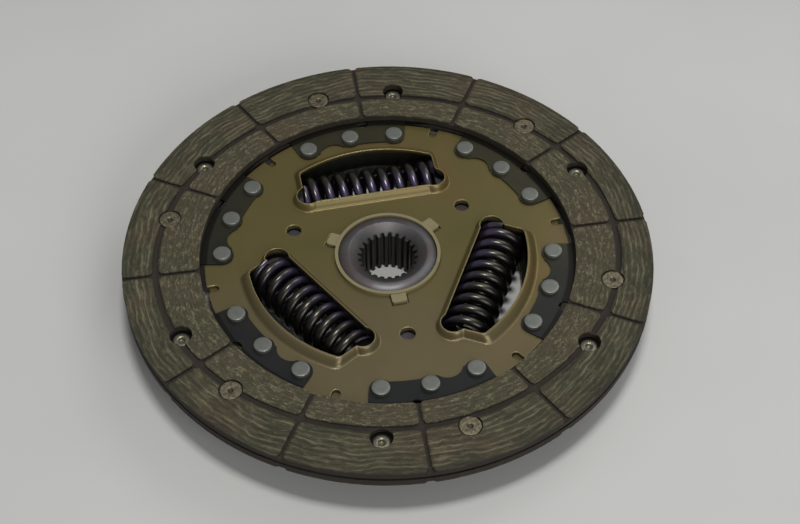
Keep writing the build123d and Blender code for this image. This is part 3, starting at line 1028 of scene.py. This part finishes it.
def turned_ring(
    node: str,
    outline: Outline,
    base: float,
    material: bpy.types.Material,
    steps: int,
) -> None:
    """Builds one turned solid at each place of a CAD node's solids, and shows them in its stead.

    Args:
        node: The CAD node of solids that stand round the disc.
        outline: The section, from the axis at one end to the axis at the other.
        base: Height that the outline's heights count from.
        material: The finish.
        steps: Number of steps round each solid.
    """
    points: list[Point] = []
    faces: list[Face] = []
    for spot in ring_centres(node):
        foot = Vector((spot.x, spot.y, base))
        more_points, more_faces = turned(outline, foot, steps, len(points))
        points += more_points
        faces += more_faces
    piece = mesh_piece(f"{node}_turned", points, faces, material)
    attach(piece, Body.DISC.value)
    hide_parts(node)
    LOG.info("built %s", piece.name)


def paint(node: str, material: bpy.types.Material) -> None:
    """Gives a CAD node its finish.

    Args:
        node: The CAD node.
        material: The finish.
    """
    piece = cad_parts[node]
    piece.data.materials.clear()
    piece.data.materials.append(material)
    LOG.info("dressed %s in %s", node, material.name)


# Sub-assemblies ----------------------------------------------------------------------------


@dataclass
class Facings:
    """The two friction facings."""

    def dress(self) -> None:
        """Dresses both facings, each with its streaks and grooves counted from its own face."""
        low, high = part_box("front_facing")
        front = FrictionLining("friction_lining_front", high.z, Side.FRONT, high.x)
        low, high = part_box("rear_facing")
        rear = FrictionLining("friction_lining_rear", low.z, Side.REAR, high.x)
        paint("front_facing", front.build())
        paint("rear_facing", rear.build())


@dataclass
class FacingRivets:
    """Brass rivets with a dimpled head in one facing and a hollow end rolled over in the other."""

    head_radius: float = 4.5 * MM
    head_thickness: float = 1.0 * MM
    head_round: float = 0.35 * MM
    dimple_radius: float = 1.0 * MM
    dimple_depth: float = 0.8 * MM
    shank_radius: float = 2.2 * MM
    tail_radius: float = 3.4 * MM
    tail_thickness: float = 0.75 * MM
    hollow_radius: float = 1.3 * MM
    hollow_depth: float = 1.2 * MM

    def outline(self, length: float) -> Outline:
        """The rivet's section.

        Args:
            length: Height of the head's face over the tail's end, which lies at 0.

        Returns:
            The section, from the axis in the hollow to the axis in the dimple.
        """
        head_back = length - self.head_thickness
        hollow = [
            (0.0, self.hollow_depth, 0.0),
            (self.hollow_radius * 0.75, self.hollow_depth * 0.9, 0.5 * MM),
            (self.hollow_radius, 0.3 * MM, 0.25 * MM),
        ]
        rolled_tail = [
            (self.hollow_radius + 0.7 * MM, 0.0, 0.35 * MM),
            (self.tail_radius, 0.15 * MM, 0.35 * MM),
            (self.tail_radius, self.tail_thickness, 0.25 * MM),
        ]
        shank = [(self.shank_radius, self.tail_thickness, 0.0), (self.shank_radius, head_back, 0.0)]
        head = [
            (self.head_radius, head_back, self.head_round),
            (self.head_radius, length, self.head_round),
        ]
        dimple = [
            (self.dimple_radius + 0.3 * MM, length - 0.1 * MM, 0.3 * MM),
            (self.dimple_radius * 0.8, length - self.dimple_depth, 0.2 * MM),
            (0.0, length - self.dimple_depth, 0.0),
        ]
        return rounded(hollow + rolled_tail + shank + head + dimple)

    def build(self, node: str, side: Side) -> None:
        """Builds one side's rivets in place of their CAD node.

        Args:
            node: The CAD node they stand for.
            side: The face that their heads are in.
        """
        low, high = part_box(node)
        outline = self.outline(high.z - low.z)
        if side is Side.REAR:
            outline = [(radius, -height) for radius, height in reversed(outline)]
        base, face = (low.z, high.z) if side is Side.FRONT else (high.z, low.z)
        material = RivetBrass(f"rivet_brass_{side.name.lower()}", face, side).build()
        turned_ring(node, outline, base, material, 40)


@dataclass
class PlateRivets:
    """Solid rivets through the plates, with a low domed head and a formed tail."""

    head_radius: float = 3.8 * MM
    head_height: float = 1.8 * MM
    crown: float = 0.06 * MM
    head_round: float = 0.5 * MM
    shank_radius: float = 2.8 * MM
    tail_radius: float = 4.1 * MM
    tail_height: float = 1.9 * MM
    flat_share: float = 0.6

    def build(self, material: bpy.types.Material) -> None:
        """Builds all the rivets in place of their CAD node.

        Args:
            material: The finish.
        """
        node = "plate_rivets"
        low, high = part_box(node)
        length = high.z - low.z
        outline = rounded([
            (0.0, 0.0, 0.0),
            (self.tail_radius * self.flat_share, 0.0, 0.3 * MM),
            (self.tail_radius, self.crown, self.head_round * 1.3),
            (self.tail_radius, self.tail_height, 0.15 * MM),
            (self.shank_radius, self.tail_height, 0.0),
            (self.shank_radius, length - self.head_height, 0.0),
            (self.head_radius, length - self.head_height, 0.1 * MM),
            (self.head_radius, length - self.crown, self.head_round),
            (self.head_radius * self.flat_share, length, 0.6 * MM),
            (0.0, length, 0.0),
        ], 5)
        turned_ring(node, outline, low.z, material, 56)


@dataclass
class DamperSprings:
    """The three coil springs, closed and ground level at their ends.

    At the joint's limits the window ends tilt against the springs.
    """

    wire_radius: float = 2.1 * MM
    closed_pitch: float = 4.3 * MM
    open_turns: int = 8
    steps_per_turn: int = 36
    steps_round_wire: int = 20
    joint: str = "damper_twist"
    travel_deg: float = 10.0
    end_room: float = 1.8 * MM

    def axis_height(self, share: float, length: float) -> float:
        """How far along the spring the middle of its wire has come.

        Args:
            share: Share of the turns that are wound, from 0 to 1.
            length: Length of the spring.

        Returns:
            The distance from the spring's first end.
        """
        turns = share * (self.open_turns + 2)
        closed = min(turns, 1.0) + max(turns - self.open_turns - 1, 0.0)
        opened = min(max(turns - 1.0, 0.0), self.open_turns)
        pitch = (length - 2 * self.closed_pitch) / self.open_turns
        return closed * self.closed_pitch + opened * pitch

    def build(self, material: bpy.types.Material) -> None:
        """Builds each spring where its CAD node lies.

        Args:
            material: The finish.
        """
        for number in (1, 2, 3):
            node = f"damper_spring_{number}"
            points = [v.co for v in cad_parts[node].data.vertices]
            middle = sum(points, Vector()) / len(points)
            outward = Vector((middle.x, middle.y, 0)).normalized()
            along = Vector((outward.y, -outward.x, 0))
            reach = [(p - middle).dot(along) for p in points]
            spread = [p.dot(outward) for p in points]
            low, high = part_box(node)
            centre = outward * (min(spread) + max(spread)) / 2
            centre.z = (low.z + high.z) / 2
            length = max(reach) - min(reach)
            coil_radius = (high.z - low.z) / 2 - self.wire_radius
            self.coil(node, centre, along, length, coil_radius, material)

    def coil(
        self,
        node: str,
        centre: Vector,
        along: Vector,
        length: float,
        coil_radius: float,
        material: bpy.types.Material,
    ) -> None:
        """Builds one spring.

        Args:
            node: The CAD node it stands for.
            centre: Middle of the spring.
            along: Direction of its axis.
            length: Length over its ground ends.
            coil_radius: Radius of the wire's middle line.
            material: Its finish.
        """
        steps = (self.open_turns + 2) * self.steps_per_turn
        count = self.steps_round_wire
        points: list[Point] = []
        faces: list[Face] = []
        up = Vector((0, 0, 1))
        for step in range(steps + 1):
            turn = WHOLE_TURN * step / self.steps_per_turn
            radial = up * math.cos(turn) + along.cross(up) * math.sin(turn)
            height = self.axis_height(step / steps, length) - length / 2
            for index in range(count):
                angle = WHOLE_TURN * index / count
                rise = height + self.wire_radius * math.sin(angle)
                rise = min(max(rise, -length / 2), length / 2)
                reach = coil_radius + self.wire_radius * math.cos(angle)
                points.append(tuple(centre + along * rise + radial * reach))
        for step in range(steps):
            for index in range(count):
                after = (index + 1) % count
                here, there = step * count, (step + 1) * count
                faces.append((here + index, here + after, there + after, there + index))
        faces.append(tuple(reversed(range(count))))
        faces.append(tuple(range(steps * count, (steps + 1) * count)))
        piece = mesh_piece(f"{node}_wound", points, faces, material, 50.0)
        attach(piece, Body.SPRINGS.value)
        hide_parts(node)
        turned_by = Vector((centre.x, centre.y, 0)).length * math.radians(self.travel_deg)
        keep = 1 - (turned_by + self.end_room) / length
        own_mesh(piece)
        LOG.info("built %s", piece.name)


@dataclass
class Pressings:
    """Front plate, rear plate and the cushion plates."""

    cushion_count: int = 6

    def dress(self) -> None:
        """Dresses the pressed steel."""
        paint("front_plate", GoldChromate("gold_chromate", False).build())
        paint("rear_plate", GoldChromate("gold_chromate_rear", True).build())
        steel = CushionSteel().build()
        for number in range(1, self.cushion_count + 1):
            paint(f"cushion_plate_{number}", steel)


@dataclass
class HubGroup:
    """The hub with its bushes, washers and cup spring."""

    bush_rounding: float = 0.9 * MM
    bush_corner_deg: float = 50.0

    def dress(self) -> None:
        """Dresses the middle of the disc."""
        paint("hub", HubSteel().build())
        plastic = CreamPlastic().build()
        paint("front_bush", plastic)
        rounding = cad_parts["front_bush"].modifiers.new("rounding", "BEVEL")
        rounding.width = self.bush_rounding
        rounding.segments = 3
        rounding.limit_method = "ANGLE"
        rounding.angle_limit = math.radians(self.bush_corner_deg)
        paint("rear_bush", plastic)
        paint("friction_washer", WasherCompound().build())
        paint("thrust_ring", BARE_STEEL.build())
        paint("cup_spring", SPRING_STEEL.build())


@dataclass
class Lamp:
    """One soft area lamp that looks at the disc."""

    name: str
    place: Point
    size: float
    watts: float
    colour: Colour = (1.0, 1.0, 1.0)

    def build(self, target: Vector) -> None:
        """Adds the lamp.

        Args:
            target: The point that it faces.
        """
        data = bpy.data.lights.new(self.name, "AREA")
        data.shape = "DISK"
        data.size = self.size
        data.energy = self.watts
        data.color = self.colour
        lamp = bpy.data.objects.new(self.name, data)
        lamp.location = self.place
        lamp.rotation_mode = "QUATERNION"
        lamp.rotation_quaternion = (target - lamp.location).to_track_quat("-Z", "Y")
        bpy.context.scene.collection.objects.link(lamp)


@dataclass
class Studio:
    """Floor, sky, lamps and camera."""

    floor_half: float = 6.0
    sky: Colour = srgb(205, 206, 208)
    sky_strength: float = 0.36
    shown_sky: Colour = srgb(214, 214, 212)
    lens: float = 70.107
    sensor: float = 36.0
    camera_place: Point = (0.005213, -0.429015, 0.531309)
    camera_elevation: float = 50.163
    camera_roll: float = -0.085

    def build(self) -> None:
        """Builds the studio round the part."""
        self.floor()
        self.world()
        target = Vector((0, 0, CAD_HIGH.z / 2))
        for lamp in self.lamps():
            lamp.build(target)
        self.camera()
        bpy.context.scene.view_settings.view_transform = "Standard"

    def lamps(self) -> list[Lamp]:
        """The lamps: one straight above, a wide weak one behind and one in front."""
        return [
            Lamp("overhead", (0.05, -0.12, 1.45), size=0.28, watts=10.7, colour=(1.0, 0.99, 0.97)),
            Lamp("back", (0.62, 0.72, 1.0), size=0.7, watts=3.0),
            Lamp("front", (0.75, -1.35, 0.8), size=0.9, watts=11.8),
        ]

    def floor(self) -> None:
        """Lays the floor under the part."""
        half = self.floor_half
        corners = [(-half, -half, 0.0), (half, -half, 0.0), (half, half, 0.0), (-half, half, 0.0)]
        piece = mesh_piece("floor", corners, [(0, 1, 2, 3)], PaleGround().build())

    def world(self) -> None:
        """Makes a soft even sky that shows pale to the camera and to transmission rays."""
        world = bpy.data.worlds.new("studio_sky")
        bpy.context.scene.world = world
        nodes = Nodes(world)
        rays = nodes.add("ShaderNodeLightPath").outputs
        seen = {0: rays["Is Camera Ray"], 1: rays["Is Transmission Ray"]}
        share = nodes.add("ShaderNodeMath", {"operation": "MAXIMUM"}, seen).outputs[0]
        inputs = {"Color": self.sky, "Strength": self.sky_strength}
        light = nodes.add("ShaderNodeBackground", inputs=inputs).outputs[0]
        shown = nodes.add("ShaderNodeBackground", inputs={"Color": self.shown_sky}).outputs[0]
        mix = nodes.add("ShaderNodeMixShader", inputs={0: share, 1: light, 2: shown}).outputs[0]
        nodes.add("ShaderNodeOutputWorld", inputs={0: mix})

    def camera(self) -> None:
        """Sets up the camera."""
        data = bpy.data.cameras.new("camera")
        data.lens = self.lens
        data.sensor_width = self.sensor
        data.clip_start = 0.01
        data.clip_end = 50.0
        camera = bpy.data.objects.new("camera", data)
        tilt = Matrix.Rotation(math.radians(90.0 - self.camera_elevation), 4, "X")
        roll = Matrix.Rotation(math.radians(self.camera_roll), 4, "Z")
        camera.matrix_world = Matrix.Translation(self.camera_place) @ tilt @ roll
        bpy.context.scene.collection.objects.link(camera)
        bpy.context.scene.camera = camera


def main() -> None:
    """Builds and dresses the part, sub-assembly by sub-assembly, then the studio."""
    logging.basicConfig(level=logging.INFO, format="%(name)s: %(message)s")
    Facings().dress()
    Pressings().dress()
    HubGroup().dress()
    rivets = FacingRivets()
    rivets.build("front_facing_rivets", Side.FRONT)
    rivets.build("rear_facing_rivets", Side.REAR)
    PlateRivets().build(RIVET_STEEL.build())
    DamperSprings().build(TemperedWire().build())
    Studio().build()


if __name__ == "__main__":
    main()
